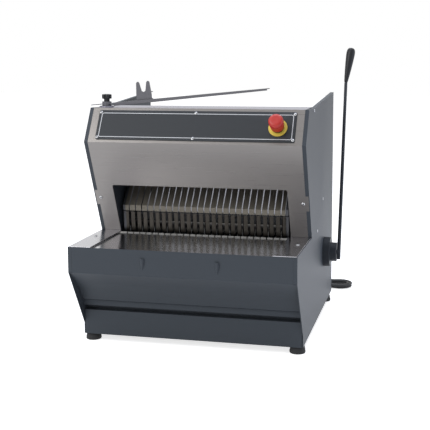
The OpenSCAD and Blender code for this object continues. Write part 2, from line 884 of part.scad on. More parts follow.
module bag_fork() {
  w = fork_w;
  h = fork_h;
  color(steel) on_arm() translate([fork_x, 0, 1 + seat]) difference() {
    union() {
      translate([0, -1, 0]) rotate([90, 0, 0]) linear_extrude(fork_t) polygon([
        [0, 0], [w, 0], [w, 12], [w - 3, h - 3], [w - 6, h], [w - 9, h], [w - 12, h - 3],
        [w * 0.62, h * 0.48], [w * 0.5, h * 0.42], [w * 0.38, h * 0.48], [12, h - 3], [9, h],
        [6, h], [3, h - 3], [0, 12]
      ]);
      translate([0, -1 - fork_t, 0]) cube([w, 12, 2]);
    }
    for (x = [10, w - 10]) translate([x, 5, -1]) cylinder(h = 4, r = 1.6);
  }
}

module fork_screws() {
  color(bright) on_arm() for (x = [fork_x + 10, fork_x + fork_w - 10]) translate([x, 5, 0]) {
    translate([0, 0, 3 + 2 * seat]) cylinder(h = 1.6, r = 2.8);
    translate([0, 0, -4]) cylinder(h = 7.2, r = 1.6 - fit);
  }
}

module arm_knob() {
  z = arm_hub_z + arm_hub_h + gap;
  color(black) translate([pivot.x, pivot.y, z]) difference() {
    union() {
      cylinder(h = 8, r = 8);
      translate([0, 0, 7]) linear_extrude(13) {
        circle(r = knob_d / 2 - 3.6);
        for (k = [0:5]) rotate(60 * k) translate([knob_d / 2 - 4, 0]) circle(r = 4);
      }
    }
    translate([0, 0, -1]) cylinder(h = 14, r = stud_r + fit);
  }
}

// Mains cord: gland in the rear panel, free stretch to the floor, folded hank with a tie, plug
cord_r = cord_d / 2;
gland_at = [156, 80];
gland_neck = 8;
gland_len = 42;
cord_y = ry(0) + gland_len + gap;
tie_t = 1.2;
floor_z = tie_t + gap + cord_r;
bend_r = 4.4 * cord_d;
drop = gland_at.y - floor_z;

module cord_gland() {
  color(black) translate([gland_at.x, ry(0), gland_at.y]) rotate([-90, 0, 0]) difference() {
    union() {
      translate([0, 0, gap]) cylinder(h = 5, r = 12);
      translate([0, 0, 5]) cylinder(h = gland_len - 5, r1 = 8, r2 = cord_r + 1.2);
      translate([0, 0, -panel_t - 8]) cylinder(h = panel_t + 9, r = gland_neck);
      translate([0, 0, -panel_t - 8]) cylinder(h = 8 - gap, r = 12);
    }
    translate([0, 0, gland_len - 16]) cylinder(h = 20, r = cord_r + 0.1);
  }
}

// Free stretch in one upright plane: out of the gland, over, down and along the floor
turn = 78;
fall = drop - 2 * bend_r * (1 - cos(turn));
slope_y = fall / tan(turn);
lead_end = cord_y + 12 + 2 * bend_r * sin(turn) + slope_y + 14;
stretch_route = concat(
  [[cord_y - 14, gland_at.y], [cord_y, gland_at.y]],
  [for (i = [0:6]) let (a = turn * i / 6)
    [cord_y + 12 + bend_r * sin(a), gland_at.y - bend_r * (1 - cos(a))]],
  [for (i = [0:6]) let (a = turn * (1 - i / 6))
    [lead_end - 14 - bend_r * sin(a), floor_z + bend_r * (1 - cos(a))]],
  [[lead_end, floor_z]]
);

// Hank: flat loops that wind inwards on the floor, climb along a run and wind out again on top
loop_r = 24;
loop_step = cord_d + 3.2;
loop_rise = cord_d + 0.9;
loop_run = 110;
loop_n = 2;
loop_pts = 24;
waist = 7;
tail_len = 34;
outer_r = loop_r + loop_n * loop_step;
hank_c = [gland_at.x + loop_run / 2 + outer_r, lead_end + cord_d];

// Point of a stadium loop of radius r at a share t of its round, starting at the left end
function stadium(t, r) =
  let (
    q = PI * r / 2,
    s = t * (4 * q + 2 * loop_run),
    h = loop_run / 2
  )
  s < q ? let (a = 180 - s / r * 180 / PI) [-h + r * cos(a), r * sin(a)]
  : s < q + loop_run ? [-h + s - q, r]
  : s < 3 * q + loop_run ? let (a = 90 - (s - q - loop_run) / r * 180 / PI) [h + r * cos(a), r * sin(a)]
  : s < 3 * q + 2 * loop_run ? [h - (s - 3 * q - loop_run), -r]
  : let (a = 270 - (s - 3 * q - 2 * loop_run) / r * 180 / PI) [-h + r * cos(a), r * sin(a)];

// The middle of each run is drawn in, by as much on every loop
function drawn(p) =
  let (c = max(0, cos(min(90, 180 * abs(p.x) / loop_run))))
  [p.x, p.y - sign(p.y) * waist * c];
turn_in = loop_n - 0.42;
function climb(u) = min(1, max(0, (u - turn_in) / 0.34));
function loop_rad(u) =
  u < turn_in ? outer_r - loop_n * loop_step * u / turn_in
  : u < loop_n ? loop_r
  : loop_r + (u - loop_n) * loop_step;
function hank_at(u) =
  let (p = drawn(stadium(u - floor(u + 0.0001), loop_rad(u))))
  [hank_c.x + p.x, hank_c.y + p.y, floor_z + loop_rise * climb(u)];
hank_end = [gland_at.x, hank_c.y + tail_len, floor_z + loop_rise];
hank_route = concat(
  [[gland_at.x, lead_end, floor_z]],
  [for (k = [0:2 * loop_n * loop_pts]) hank_at(k / loop_pts)],
  [[gland_at.x, hank_c.y + tail_len / 2, floor_z + loop_rise], hank_end]
);

// Least distance of the hank to itself, on points three to a stretch
hank_fine = [for (i = [0:len(hank_route) - 2], k = [0:2])
  hank_route[i] + k / 3 * (hank_route[i + 1] - hank_route[i])];
self_gap = min([for (i = [0:len(hank_fine) - 9], j = [i + 8:len(hank_fine) - 1])
  norm(hank_fine[i] - hank_fine[j])]) - cord_d;
function path_len(p) = len(p) < 2 ? 0
  : [for (i = 0, s = 0; i < len(p); i = i + 1, s = i < len(p) ? s + norm(p[i] - p[i - 1]) : s) s][len(p) - 1];
echo(hank_self_gap = self_gap, hank_length = path_len(hank_route), lead_length = path_len(stretch_route));

// One tube along a route, with its rings turned to a fixed direction
module tube(route, r, n, ref) {
  m = len(route);
  rings = [for (i = [0:m - 1])
    let (
      t = unit(route[min(i + 1, m - 1)] - route[max(i - 1, 0)]),
      u = unit(cross(t, ref)),
      v = cross(t, u)
    )
    for (k = [0:n - 1]) route[i] + r * (cos(360 * k / n) * u + sin(360 * k / n) * v)];
  walls = [for (i = [0:m - 2], k = [0:n - 1])
    let (a = i * n + k, b = i * n + (k + 1) % n)
    each [[a, b, b + n], [a, b + n, a + n]]];
  caps = [for (k = [1:n - 2]) each [[0, k + 1, k], [(m - 1) * n, (m - 1) * n + k, (m - 1) * n + k + 1]]];
  polyhedron(points = rings, faces = concat(walls, caps));
}

module cord_stretch() {
  color(black) tube([for (p = stretch_route) [gland_at.x, p.x, p.y]], cord_r, 10, [1, 0, 0]);
}

module cord_hank() {
  color(black) tube(hank_route, cord_r, 6, [0, 0, 1]);
}

module cord_tie() {
  h = floor_z + loop_rise + cord_r + gap;
  y = outer_r - waist + cord_r + gap - 2;
  color(black) translate([hank_c.x - 7, hank_c.y, 0]) difference() {
    translate([0, -y - tie_t, 0]) cube([14, 2 * (y + tie_t), h + tie_t]);
    translate([-1, -y, tie_t]) cube([16, 2 * y, h - tie_t]);
  }
}

module cord_plug() {
  r = hank_end.z;
  color(black) translate(hank_end) rotate([-90, 0, 0]) {
    cylinder(h = 22, r1 = cord_r + 1, r2 = 7);
    translate([0, 0, 21]) cylinder(h = 6, r1 = 8, r2 = r);
    translate([0, 0, 27]) cylinder(h = 30, r = r);
    for (x = [-9.5, 9.5]) translate([x * 0.85, 0, 56]) cylinder(h = 20, r = 2.4);
  }
}

// Sets a piece about the front left foot
module placed() {
  translate([foot_x, -foot_y[0], 0]) children();
}

placed() base_pan();
placed() rubber_feet();
placed() left_side_panel();
placed() right_side_panel();
placed() front_fascia();
placed() drawer_lintel();
placed() crumb_drawer();
placed() drawer_runners();
placed() tray_bed();
placed() tray_plate_left();
placed() tray_plate_right();
placed() tray_screws();
placed() hood();
placed() hood_screws();
placed() control_panel();
placed() panel_screws();
placed() estop_ring();
placed() estop_body();
placed() estop_head();
placed() top_cover();
placed() rear_guard();
placed() rear_panel();
placed() feed_chute();
placed() inner_wall_left();
placed() inner_wall_right();
placed() side_screws();
placed() frame_a();
placed() blades_a();
placed() frame_b();
placed() blades_b();
placed() guide_blocks();
placed() crankshaft();
placed() conrods_a();
placed() conrods_b();
placed() crank_bearings();
placed() crank_pulley();
placed() motor_rotor();
placed() drive_belt();
placed() motor_body();
placed() motor_bracket();
placed() lever_flange();
placed() shaft_bearing();
placed() lever_shaft();
placed() lever_hub();
placed() lever_bar();
placed() lever_grip();
placed() pusher_frame();
placed() pusher_plate();
placed() pusher_fingers();
placed() arm_stud();
placed() arm_washer();
placed() bag_arm();
placed() bag_fork();
placed() fork_screws();
placed() arm_knob();
placed() cord_gland();
placed() cord_stretch();
placed() cord_hank();
placed() cord_tie();
placed() cord_plug();
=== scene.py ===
"""Looks of a table-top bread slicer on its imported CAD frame."""

import logging
import math
from dataclasses import dataclass, field
from enum import Enum
from typing import Iterable, Sequence

import bmesh
import bpy
from mathutils import Matrix, Vector


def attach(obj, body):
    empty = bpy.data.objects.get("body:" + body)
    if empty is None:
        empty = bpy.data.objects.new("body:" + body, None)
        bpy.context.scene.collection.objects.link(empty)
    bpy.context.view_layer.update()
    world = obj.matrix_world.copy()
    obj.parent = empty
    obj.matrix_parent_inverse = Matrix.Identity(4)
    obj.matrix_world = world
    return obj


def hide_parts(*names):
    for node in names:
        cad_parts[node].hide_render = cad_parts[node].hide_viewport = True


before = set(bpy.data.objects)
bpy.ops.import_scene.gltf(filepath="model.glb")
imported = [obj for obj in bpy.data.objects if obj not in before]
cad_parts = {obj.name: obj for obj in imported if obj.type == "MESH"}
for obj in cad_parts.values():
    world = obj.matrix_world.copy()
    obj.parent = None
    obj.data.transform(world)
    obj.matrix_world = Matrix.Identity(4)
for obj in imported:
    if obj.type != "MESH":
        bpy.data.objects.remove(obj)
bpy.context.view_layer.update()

LOG = logging.getLogger("bread_slicer")
MM = 0.001
TURN = 2.0 * math.pi
# From the middle of the body, where places are measured, to the origin under the front left foot
SHIFT = Vector((282.0, 231.0, 0.0)) * MM
# Part of the noise, which runs from 0 to 1, that most of a pattern lies in, and its octaves
NOISE_LOW, NOISE_HIGH, NOISE_DETAIL = 0.25, 0.75, 3.0
# Edges that turn by more, in degrees, stay sharp on new pieces or are rounded on CAD nodes
SHARP_ANGLE, ROUNDED_ANGLE = 38.0, 32.0
# Steps in one bend of the cord, and the least share of a loop that counts
BEND_STEPS, LOOP_SHARE = 12, 1e-4
# Pull of large faces on the shading of their edges, of 100
FACE_WEIGHT = 90
# Points closer than these distances, in metres, are one point
SPIN_JOIN, WELD_JOIN = 1e-6, 1e-5
# Cosine above which two directions count as parallel
PARALLEL = 0.95
# Straight side of a screw head as a share of its height
SCREW_SIDE = 0.35
# Dark bars that paint the shade of a cross recess: length and width as shares of the head's radius,
# then millimetres
CROSS_LENGTH, CROSS_WIDTH = 1.1, 0.3
CROSS_THICK, CROSS_SUNK = 0.3, 0.1

Point = tuple[float, float]
Point3 = tuple[float, float, float]


class Grain(Enum):
    """Surface pattern of a finish."""

    PLAIN = "plain"
    COAT = "coat"
    BRUSH_X = "brush_x"
    BRUSH_Y = "brush_y"
    CAST = "cast"
    POLISH = "polish"


# Size of one repeat of each pattern along X, Y and Z, in millimetres: the orange peel of a coat, the
# brush lines of sheet steel, the skin of a casting and the long waves of a polished sheet. Brush
# lines are finer on the real sheet and are drawn this coarse so that they show.
PATTERN_SIZE: dict[Grain, Point3] = {
    Grain.COAT: (1.42857, 1.42857, 1.42857),
    Grain.BRUSH_X: (166.667, 1.11111, 1.11111),
    Grain.BRUSH_Y: (1.11111, 166.667, 1.11111),
    Grain.CAST: (3.125, 3.125, 3.125),
    Grain.POLISH: (40.0, 40.0, 40.0),
}


def srgb(code: str) -> tuple[float, float, float, float]:
    """Turns an sRGB hex colour into linear RGBA.

    Args:
        code: Six hex digits, with or without a leading #.

    Returns:
        Linear red, green, blue and an alpha of 1.
    """
    raw = code.lstrip("#")
    parts = [int(raw[i : i + 2], 16) / 255.0 for i in (0, 2, 4)]
    lin = [c / 12.92 if c <= 0.04045 else ((c + 0.055) / 1.055) ** 2.4 for c in parts]
    return (lin[0], lin[1], lin[2], 1.0)


def feed(tree: bpy.types.NodeTree, node: bpy.types.Node, *values: object, **inputs: object) -> None:
    """Sets or links the inputs of a node.

    Args:
        tree: Node tree of the material or world.
        node: The node.
        *values: Values or sockets for the first inputs, in their order.
        **inputs: Values or sockets by input name, with _ for a space.
    """
    named = [(node.inputs[name.replace("_", " ")], value) for name, value in inputs.items()]
    for socket, value in [*zip(node.inputs, values), *named]:
        if isinstance(value, bpy.types.NodeSocket):
            tree.links.new(value, socket)
        else:
            socket.default_value = value


def add_node(
    tree: bpy.types.NodeTree, kind: str, *values: object, operation: str = "", **inputs: object
) -> bpy.types.Node:
    """Adds a shader node with its setting, values and links.

    Args:
        tree: Node tree of the material or world.
        kind: Node type name.
        *values: Values or sockets for the first inputs, in their order.
        operation: Operation of a math node.
        **inputs: Values or sockets by input name, with _ for a space.

    Returns:
        The new node.
    """
    node = tree.nodes.new(kind)
    if operation:
        node.operation = operation
    feed(tree, node, *values, **inputs)
    return node


@dataclass(frozen=True)
class Band:
    """Strip across a sheet, rougher and of another colour, that paints the highlight of a bent edge.

    Attributes:
        low: Y where it begins, in millimetres from the middle of the body.
        high: Y where it ends.
        colour: sRGB hex colour.
        roughness: Roughness of the strip.
    """

    low: float
    high: float
    colour: str
    roughness: float


@dataclass(frozen=True)
class Finish:
    """One real material and how it looks.

    Attributes:
        name: Name of the real material.
        colour: sRGB hex colour.
        metallic: 1 for bare metal.
        roughness: Mean roughness.
        grain: Surface pattern.
        depth: Height of the pattern in millimetres.
        spread: How far the pattern moves the roughness.
        specular: Strength of the mirror part, 0.5 for an even dielectric.
        band: Strip that paints a highlight, if there is one.
    """

    name: str
    colour: str
    metallic: float = 0.0
    roughness: float = 0.5
    grain: Grain = Grain.PLAIN
    depth: float = 0.0
    spread: float = 0.0
    specular: float = 0.5
    band: Band | None = None

    def scale(self) -> Point3:
        """Returns the pattern's repeats per metre along X, Y and Z."""
        x, y, z = PATTERN_SIZE[self.grain]
        return (1.0 / (x * MM), 1.0 / (y * MM), 1.0 / (z * MM))

    def make(self) -> bpy.types.Material:
        """Builds the material, or returns it if it was built before.

        Returns:
            The material.
        """
        known = bpy.data.materials.get(self.name)
        if known is not None:
            return known
        mat = bpy.data.materials.new(self.name)
        mat.use_nodes = True
        tree = mat.node_tree
        shader = tree.nodes["Principled BSDF"]
        feed(
            tree, shader, Base_Color=srgb(self.colour), Metallic=self.metallic,
            Roughness=self.roughness, Specular_IOR_Level=self.specular,
        )
        if self.grain is not Grain.PLAIN:
            self._pattern(tree, shader)
        if self.band is not None:
            self._paint_highlight(tree, shader, self.band)
        return mat

    def _paint_highlight(self, tree: bpy.types.NodeTree, shader: bpy.types.Node, band: Band) -> None:
        """Gives the strip its colour and roughness, which paint the highlight of a bent edge.

        Args:
            tree: Node tree of the material.
            shader: Its principled shader.
            band: The strip.
        """
        middle = (band.low + band.high) / 2.0 * MM + SHIFT.y
        half = (band.high - band.low) / 2.0 * MM
        coords = add_node(tree, "ShaderNodeTexCoord")
        split = add_node(tree, "ShaderNodeSeparateXYZ", coords.outputs["Object"])
        inside = add_node(tree, "ShaderNodeMath", split.outputs["Y"], middle, half, operation="COMPARE")
        share = inside.outputs["Value"]
        tint = add_node(tree, "ShaderNodeMixRGB", share, srgb(self.colour), srgb(band.colour))
        rough = add_node(
            tree, "ShaderNodeMapRange", Value=share, To_Min=self.roughness, To_Max=band.roughness
        )
        feed(tree, shader, Base_Color=tint.outputs["Color"], Roughness=rough.outputs["Result"])

    def _pattern(self, tree: bpy.types.NodeTree, shader: bpy.types.Node) -> None:
        """Adds the grain as a change of roughness and height.

        Args:
            tree: Node tree of the material.
            shader: Its principled shader.
        """
        coords = add_node(tree, "ShaderNodeTexCoord")
        mapping = add_node(
            tree, "ShaderNodeMapping", Vector=coords.outputs["Object"], Scale=self.scale()
        )
        noise = add_node(
            tree, "ShaderNodeTexNoise", Vector=mapping.outputs["Vector"], Scale=1.0, Detail=NOISE_DETAIL
        )
        height = noise.outputs["Fac"]
        if self.spread:
            rough = add_node(
                tree, "ShaderNodeMapRange", Value=height, From_Min=NOISE_LOW, From_Max=NOISE_HIGH,
                To_Min=self.roughness - self.spread, To_Max=self.roughness + self.spread,
            )
            feed(tree, shader, Roughness=rough.outputs["Result"])
        if self.depth:
            bump = add_node(
                tree, "ShaderNodeBump", Strength=1.0, Distance=self.depth * MM, Height=height
            )
            feed(tree, shader, Normal=bump.outputs["Normal"])


# Powder coat on folded sheet steel: a dull charcoal sheen over a fine orange peel
PAINT = Finish(
    "powder_coat_charcoal", "#41464c", roughness=0.46, grain=Grain.COAT, depth=0.010, specular=0.14
)
# The same coat on turned and drawn lever parts, with painted shade: darker, and a clearer highlight on
# the rounds
LEVER_PAINT = Finish(
    "lever_coat_charcoal", "#2d3137", roughness=0.42, grain=Grain.COAT, depth=0.008, specular=0.25
)
# Brushed stainless sheet of the hood: soft light drawn out across fine level lines
HOOD_STEEL = Finish("stainless_hood_brushed", "#797674", 1.0, 0.33, Grain.BRUSH_X, 0.006, 0.08)
# Finer stainless of the cover and the stud: a pale satin
SATIN_STEEL = Finish("stainless_satin", "#8e8d97", 1.0, 0.34, Grain.BRUSH_X, 0.004, 0.07)
# Half-polished stainless of the tray plates: bright, with lines to the back
TRAY_STEEL = Finish("stainless_tray_plate", "#b6b6ba", 1.0, 0.22, Grain.BRUSH_Y, 0.002, 0.05)
# Matt stainless of the chute behind the blades: an even grey, darkened to paint the shade behind the
# blades
CHUTE_STEEL = Finish("stainless_chute_matt", "#6f6e70", 1.0, 0.5, Grain.BRUSH_Y, 0.004, 0.05)
# Duller stainless of the bag holder: dark grey from the side
ARM_STEEL = Finish("stainless_dull", "#5d5d61", 1.0, 0.4, Grain.BRUSH_X, 0.004, 0.07)
# Polished stainless of the tray bed: blurred mirror images, and a painted highlight at its lip, a
# rougher strip of another colour
POLISHED = Finish(
    "stainless_bed_polished", "#cfcfd1", 1.0, 0.2, Grain.POLISH, 0.004,
    band=Band(low=-130.0, high=-126.0, colour="#b4b4b2", roughness=0.55),
)
# Ground steel of the blades: thin bright lines
BLADE = Finish("steel_blade_ground", "#92918f", 1.0, 0.34, Grain.POLISH, 0.0, 0.06)
# Stainless of the pusher face: warm grey and dulled by a film of flour and fat
PUSHER = Finish("stainless_pusher", "#6e6960", 0.55, 0.5, Grain.BRUSH_X, 0.004, 0.06)
# Stainless of the pusher's finger strips: painted reflection, a dark colour that stands in for the dark
# inside of the machine that it mirrors
STRIP = Finish("stainless_strip", "#403d39", 1.0, 0.38, Grain.POLISH, 0.0, 0.05)
# Printed film of the control plate: near black and half matt
PLATE = Finish(
    "control_plate_dark", "#1b1f24", roughness=0.5, grain=Grain.COAT, spread=0.05, specular=0.35
)
# Light printed line on the control plate: plain and half matt
LINE = Finish("plate_line_light", "#c8cacd", roughness=0.45, grain=Grain.COAT, spread=0.04)
# Coat of the inner walls, darker than the body's to paint the shade of the mouth: dull
INNER = Finish("inner_coat_dark", "#2c3038", roughness=0.5, grain=Grain.COAT, depth=0.01)
# Cast and machined iron of the drive: grey with a coarse skin
IRON = Finish("iron_drive_cast", "#55565a", 0.85, 0.46, Grain.CAST, 0.02, 0.06)
# Zinc-plated screws: small pale glints
ZINC = Finish("steel_zinc_screw", "#b4b5b7", 1.0, 0.34, Grain.CAST, 0.0, 0.06)
# Shade in a screw's cross recess: dark, without a glint
RECESS = Finish("screw_recess", "#26272a", roughness=0.7, grain=Grain.CAST, spread=0.05)
# Moulded black rubber: matt and almost without highlights
RUBBER = Finish("rubber_black_moulded", "#17181a", roughness=0.72, grain=Grain.COAT, depth=0.02)
# Moulded black plastic: a soft highlight
PLASTIC = Finish(
    "plastic_black_moulded", "#16181c", roughness=0.4, grain=Grain.COAT, depth=0.004, spread=0.03,
    specular=0.3,
)
# Moulded red plastic of the stop head: clear red with a soft highlight
RED = Finish(
    "plastic_red_moulded", "#b3271f", roughness=0.42, grain=Grain.COAT, depth=0.003, spread=0.03
)
# Yellow plastic disc of the stop: plain and half matt
YELLOW = Finish("plastic_yellow_disc", "#d8bd4a", roughness=0.5, grain=Grain.COAT, spread=0.04)
# Black jacket of the cord: half matt
JACKET = Finish(
    "cord_jacket_black", "#141517", roughness=0.5, grain=Grain.COAT, depth=0.004, spread=0.04
)


def write_piece(name: str, bm: bmesh.types.BMesh, finishes: Sequence[Finish]) -> bpy.types.Object:
    """Turns a bmesh in row coordinates into an object at the origin.

    Args:
        name: Name of the piece.
        bm: Finished mesh, which is freed.
        finishes: Its finishes, in the order of the faces' material numbers.

    Returns:
        The new object.
    """
    bmesh.ops.recalc_face_normals(bm, faces=bm.faces)
    mesh = bpy.data.meshes.new(name)
    bm.to_mesh(mesh)
    bm.free()
    for finish in finishes:
        mesh.materials.append(finish.make())
    mesh.polygons.foreach_set("use_smooth", [True] * len(mesh.polygons))
    mesh.set_sharp_from_angle(angle=math.radians(SHARP_ANGLE))
    obj = bpy.data.objects.new(name, mesh)
    bpy.context.scene.collection.objects.link(obj)
    return obj


def spin_profile(
    bm: bmesh.types.BMesh, profile: Iterable[Point], place: Matrix, steps: int = 48, material: int = 0
) -> None:
    """Spins a profile of radius and height round Z and puts it in place.

    Args:
        bm: Mesh to add to.
        profile: Points as radius and height in millimetres.
        place: Matrix from the turned shape, in metres, to the row frame.
        steps: Number of steps round.
        material: Material number of its faces.
    """
    verts = [bm.verts.new((r * MM, 0.0, z * MM)) for r, z in profile]
    edges = [bm.edges.new(pair) for pair in zip(verts, verts[1:])]
    bmesh.ops.spin(
        bm, geom=verts + edges, cent=(0, 0, 0), axis=(0, 0, 1), angle=TURN, steps=steps, use_merge=True
    )
    fresh = [v for v in bm.verts if not v.tag]
    bmesh.ops.remove_doubles(bm, verts=fresh, dist=SPIN_JOIN)
    place_new(bm, place, material)


def frame_at(origin: Point3, axis: Point3, toward: Point3 = (0.0, 0.0, 1.0)) -> Matrix:
    """Builds a matrix whose Z runs along an axis.

    Args:
        origin: Origin in millimetres.
        axis: Direction of the new Z.
        toward: Direction that the new Y leans to.

    Returns:
        The matrix, in metres.
    """
    z = Vector(axis).normalized()
    hint = Vector(toward)
    if abs(z.dot(hint.normalized())) >= PARALLEL:
        hint = Vector((0.0, 1.0, 0.0))
    x = hint.cross(z).normalized()
    y = z.cross(x)
    rot = Matrix((x, y, z)).transposed().to_4x4()
    return Matrix.Translation(SHIFT + Vector(origin) * MM) @ rot


def new_geometry(
    bm: bmesh.types.BMesh,
) -> tuple[list[bmesh.types.BMVert], list[bmesh.types.BMFace]]:
    """Lists what was added since the last call, and marks it as seen.

    Args:
        bm: Mesh that is being built.

    Returns:
        New vertices and new faces.
    """
    verts = [v for v in bm.verts if not v.tag]
    faces = [f for f in bm.faces if not f.tag]
    for item in (*verts, *faces):
        item.tag = True
    return verts, faces


def place_new(bm: bmesh.types.BMesh, place: Matrix, material: int = 0) -> None:
    """Moves what was added since the last call into place and gives it a material.

    Args:
        bm: Mesh that is being built.
        place: Matrix from the part's own frame to the row frame.
        material: Material number of the new faces.
    """
    verts, faces = new_geometry(bm)
    bmesh.ops.transform(bm, matrix=place, verts=verts)
    for face in faces:
        face.material_index = material


def block(bm: bmesh.types.BMesh, size: Point3, centre: Point3 = (0.0, 0.0, 0.0)) -> None:
    """Adds a box, in the part's own frame.

    Args:
        bm: Mesh to add to.
        size: Width, depth and height in millimetres.
        centre: Middle of the box in millimetres.
    """
    place = Matrix.Translation(Vector(centre) * MM) @ Matrix.Diagonal((*(Vector(size) * MM), 1.0))
    bmesh.ops.create_cube(bm, size=1.0, matrix=place)


def dome_screw(bm: bmesh.types.BMesh, place: Matrix, radius: float, height: float) -> None:
    """Adds a domed screw head with dark bars that paint the shade of a cross recess.

    Args:
        bm: Mesh to add to.
        place: Frame on the seat, with Z outwards.
        radius: Head radius in millimetres.
        height: Head height in millimetres.
    """
    side = SCREW_SIDE * height
    arc = [
        (radius * math.cos(a), side + (height - side) * math.sin(a))
        for a in (math.radians(d) for d in (15, 30, 45, 60, 75))
    ]
    spin_profile(bm, [(radius, 0.0), (radius, side), *arc, (0.0, height)], place, steps=28)
    length, width = CROSS_LENGTH * radius, CROSS_WIDTH * radius
    for size in ((length, width, CROSS_THICK), (width, length, CROSS_THICK)):
        block(bm, size, (0.0, 0.0, height - CROSS_SUNK))
        place_new(bm, place, material=1)


@dataclass
class Assembly:
    """A sub-assembly: CAD nodes with finishes, and new pieces that stand for some.

    Attributes:
        body: CAD body that its new pieces ride on.
        finishes: Finish of each CAD node that is shown.
        edge: Width of the rounded edges in millimetres.
    """

    body: str = "frame"
    finishes: dict[str, Finish] = field(default_factory=dict)
    edge: float = 0.4

    def dress(self) -> None:
        """Gives the CAD nodes their finish and softens their edges."""
        for name, finish in self.finishes.items():
            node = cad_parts[name]
            node.data.materials.clear()
            node.data.materials.append(finish.make())
            weld = node.modifiers.new("joined", "WELD")
            weld.merge_threshold = WELD_JOIN
            if self.edge:
                bevel = node.modifiers.new("edges", "BEVEL")
                bevel.width = self.edge * MM
                bevel.segments = 2
                bevel.limit_method = "ANGLE"
                bevel.angle_limit = math.radians(ROUNDED_ANGLE)
                bevel.use_clamp_overlap = True
            shade = node.modifiers.new("shading", "WEIGHTED_NORMAL")
            shade.weight = FACE_WEIGHT
            shade.keep_sharp = False
            LOG.info("dressed %s in %s", name, finish.name)

    def add(self, obj: bpy.types.Object, slot: str, *nodes: str) -> None:
        """Lets a new piece ride and stand for CAD nodes.

        Args:
            obj: The piece.
            slot: Material slot of the record. Not used.
            *nodes: CAD nodes that it stands for.
        """
        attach(obj, self.body)
        if nodes:
            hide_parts(*nodes)
        LOG.info("made %s", obj.name)

    def build(self) -> None:
        """Builds the sub-assembly's new pieces, if it has any."""


@dataclass(frozen=True)
class Slope:
    """A sloped face of the body that runs along X.

    Attributes:
        foot: Lower edge as Y and Z, in millimetres.
        lean: Lean to the back from upright, in degrees.
    """

    foot: Point
    lean: float

    def at(self, x: float, up: float, out: float) -> Matrix:
        """Returns a frame on the slope, with Z outwards.

        Args:
            x: Place across the body in millimetres.
            up: Distance up the slope in millimetres.
            out: Distance off the face in millimetres.

        Returns:
            The frame's matrix, in metres.
        """
        s, c = math.sin(math.radians(self.lean)), math.cos(math.radians(self.lean))
        spot = (x, self.foot[0] + up * s - out * c, self.foot[1] + up * c + out * s)
        return frame_at(spot, (0.0, -c, s), (0.0, s, c))


# The control slope of the hood, and the hood's face below it, which leans to the front
CONTROL = Slope((-231.0, 541.0), math.degrees(math.atan2(55.0, 89.0)))
HOOD = Slope((-106.0, 280.0), -math.degrees(math.atan2(125.0, 261.0)))


